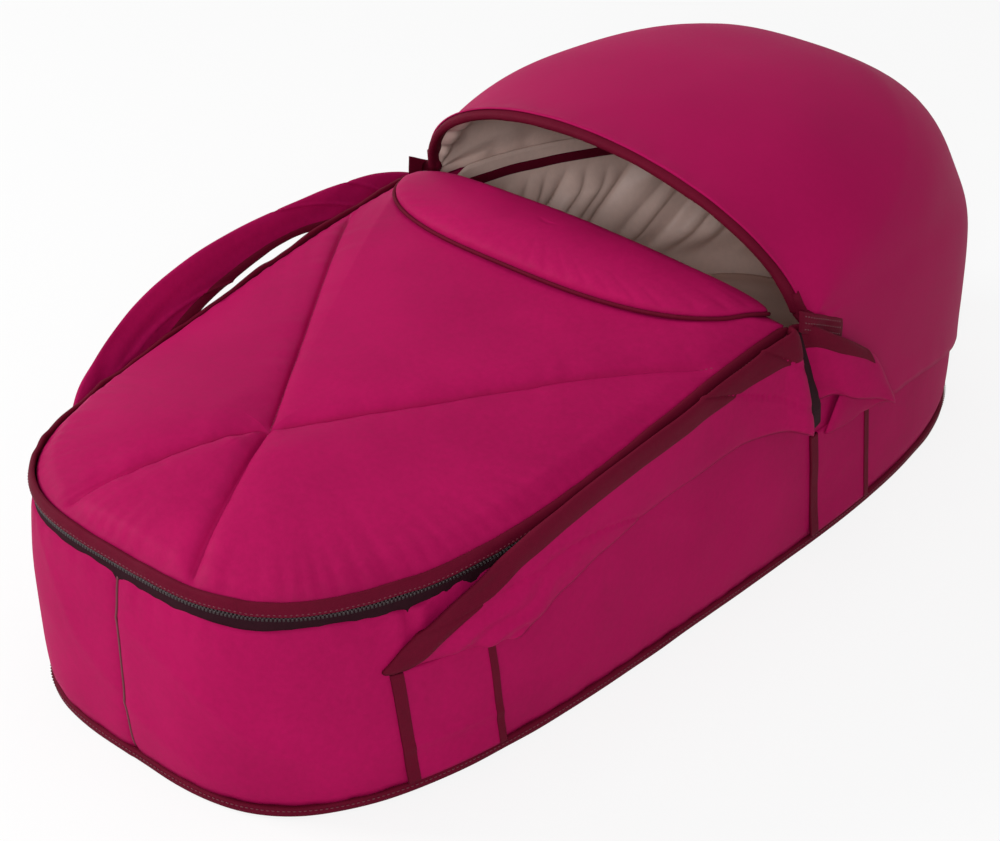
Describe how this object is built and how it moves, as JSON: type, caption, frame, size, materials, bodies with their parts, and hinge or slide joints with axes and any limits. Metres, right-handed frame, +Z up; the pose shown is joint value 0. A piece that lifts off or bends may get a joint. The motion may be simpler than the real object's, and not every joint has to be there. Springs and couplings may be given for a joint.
{
  "type": "carrycot",
  "caption": "Soft oval carrycot with padded walls, zipped quilted cover with turn-down flap, folding fabric hood, gathered lining and side carrying straps.",
  "frame": {"origin": "middle of the underside of the base", "axes": "+Z up, +Y towards the head end with the hood, +X to the side that faces right when seen from the foot end"},
  "size_m": [0.3985, 0.8062, 0.3043],
  "materials": {
    "crimson_fabric": "woven polyester, slight sheen",
    "dark_red_trim": "woven tape, matte",
    "beige_lining": "smooth lining cloth, soft sheen",
    "zip_dark": "woven tape with plastic teeth",
    "bare_metal": "satin",
    "white_padding": "soft wadding",
    "base_stiffener": "raw hardboard"
  },
  "bodies": {
    "tub": {"base_panel": "crimson_fabric", "base_board": "base_stiffener", "base_piping": "dark_red_trim", "wall_panel_left": "crimson_fabric", "wall_panel_right": "crimson_fabric", "wall_foam": "white_padding", "tub_lining": "beige_lining", "mattress": "white_padding", "zip_tub": "zip_dark", "rim_roll": "dark_red_trim", "hood_rear": "crimson_fabric", "hood_rear_lining": "beige_lining", "bow_pocket_left": "dark_red_trim", "bow_pocket_right": "dark_red_trim", "band_foot_left": "crimson_fabric", "band_foot_right": "crimson_fabric", "band_head_left": "crimson_fabric", "band_head_right": "crimson_fabric"},
    "hood_front": {"hood_bow": "bare_metal", "hood_hoop_binding": "dark_red_trim", "hood_front": "crimson_fabric", "hood_front_lining": "beige_lining"},
    "hood_middle": {"hood_middle": "crimson_fabric", "hood_middle_lining": "beige_lining"},
    "cover": {"cover": "crimson_fabric", "cover_lining": "beige_lining", "cover_binding": "dark_red_trim", "zip_cover": "zip_dark"},
    "flap": {"cover_flap": "crimson_fabric", "flap_piping": "dark_red_trim"},
    "strap_right": {"strap_right": "crimson_fabric"},
    "strap_left": {"strap_left": "crimson_fabric"},
    "zip_slider": {"zip_slider": "bare_metal", "zip_pull": "bare_metal"}
  },
  "joints": [
    {"name": "hood_fold", "type": "hinge", "parent": "tub", "child": "hood_front", "pos_m": [0, 0.072, 0.199], "axis": [-1, 0, 0], "range_deg": [0, 60]},
    {"name": "hood_middle_fold", "type": "hinge", "parent": "tub", "child": "hood_middle", "pos_m": [0, 0.072, 0.199], "axis": [-1, 0, 0], "range_deg": [0, 30]},
    {"name": "cover_open", "type": "hinge", "parent": "tub", "child": "cover", "pos_m": [0, 0.0526, 0.19957], "axis": [-1, 0, 0], "range_deg": [0, 25]},
    {"name": "flap_raise", "type": "hinge", "parent": "cover", "child": "flap", "pos_m": [0, 0.0496, 0.20637], "axis": [-1, 0, 0], "range_deg": [0, 40]},
    {"name": "strap_right_swing", "type": "hinge", "parent": "tub", "child": "strap_right", "pos_m": [0.17979, -0.0808, 0.1003], "axis": [0.0286, 0.9996, 0], "range_deg": [0, 100]},
    {"name": "strap_left_swing", "type": "hinge", "parent": "tub", "child": "strap_left", "pos_m": [-0.17979, -0.0808, 0.1003], "axis": [0.0286, -0.9996, 0], "range_deg": [-8, 92]},
    {"name": "zip_slide", "type": "slide", "parent": "tub", "child": "zip_slider", "axis": [0, -0.9886, -0.1504], "range_m": [0, 0.1]}
  ],
  "couplings": [
    {"joint": "hood_middle_fold", "follows": "hood_fold", "ratio": 0.5}
  ]
}
